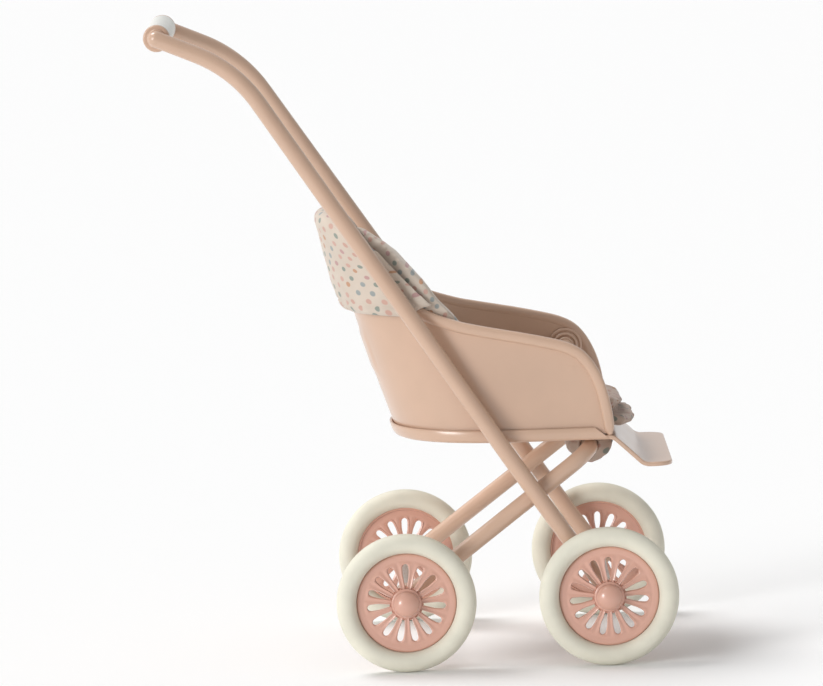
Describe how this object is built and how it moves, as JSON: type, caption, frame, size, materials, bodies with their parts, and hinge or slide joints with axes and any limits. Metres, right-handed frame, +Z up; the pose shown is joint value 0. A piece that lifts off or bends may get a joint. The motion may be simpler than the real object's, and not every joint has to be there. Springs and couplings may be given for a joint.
{
  "type": "doll stroller",
  "caption": "Small pressed-metal doll's stroller: fixed X frame of bent tube, bucket seat with rolled rim and footrest, fabric hood and cushions, spoked wheels that spin.",
  "frame": {"origin": "on the ground under the middle of the bounding box", "axes": "+X the way the stroller rolls forward, +Y to its left, +Z up"},
  "size_m": [0.1144, 0.074, 0.1443],
  "materials": {
    "painted_metal": "glossy enamel",
    "wheel_metal": "satin enamel",
    "tyre": "smooth cream rubber",
    "grip": "matt white sleeve",
    "fabric": "printed cotton",
    "steel": "bright wire"
  },
  "bodies": {
    "frame": {"handle_tube_left": "painted_metal", "handle_tube_right": "painted_metal", "grip_sleeve": "grip", "grip_rod": "steel", "grip_cap_left": "painted_metal", "grip_cap_right": "painted_metal", "rear_leg_frame": "painted_metal", "front_axle": "steel", "rear_axle": "steel", "rear_spacer_left": "steel", "rear_spacer_right": "steel", "axle_cap_front_left": "wheel_metal", "axle_cap_front_right": "wheel_metal", "axle_cap_rear_left": "wheel_metal", "axle_cap_rear_right": "wheel_metal", "seat_shell": "painted_metal", "seat_pan": "painted_metal", "safety_bar": "painted_metal", "bar_collar_left": "painted_metal", "bar_collar_right": "painted_metal", "back_hood": "fabric", "back_cushion": "fabric", "seat_cushion": "fabric", "crossbar_strap": "fabric"},
    "wheel_front_left": {"tyre_front_left": "tyre", "disc_front_left": "wheel_metal", "hub_front_left": "wheel_metal"},
    "wheel_front_right": {"tyre_front_right": "tyre", "disc_front_right": "wheel_metal", "hub_front_right": "wheel_metal"},
    "wheel_rear_left": {"tyre_rear_left": "tyre", "disc_rear_left": "wheel_metal", "hub_rear_left": "wheel_metal"},
    "wheel_rear_right": {"tyre_rear_right": "tyre", "disc_rear_right": "wheel_metal", "hub_rear_right": "wheel_metal"}
  },
  "joints": [
    {"name": "spin_front_left", "type": "hinge", "parent": "frame", "child": "wheel_front_left", "pos_m": [0.04175, 0.033, 0.0155], "axis": [0, 1, 0], "continuous": true},
    {"name": "spin_front_right", "type": "hinge", "parent": "frame", "child": "wheel_front_right", "pos_m": [0.04175, -0.033, 0.0155], "axis": [0, 1, 0], "continuous": true},
    {"name": "spin_rear_left", "type": "hinge", "parent": "frame", "child": "wheel_rear_left", "pos_m": [-0.00315, 0.033, 0.0155], "axis": [0, 1, 0], "continuous": true},
    {"name": "spin_rear_right", "type": "hinge", "parent": "frame", "child": "wheel_rear_right", "pos_m": [-0.00315, -0.033, 0.0155], "axis": [0, 1, 0], "continuous": true}
  ]
}
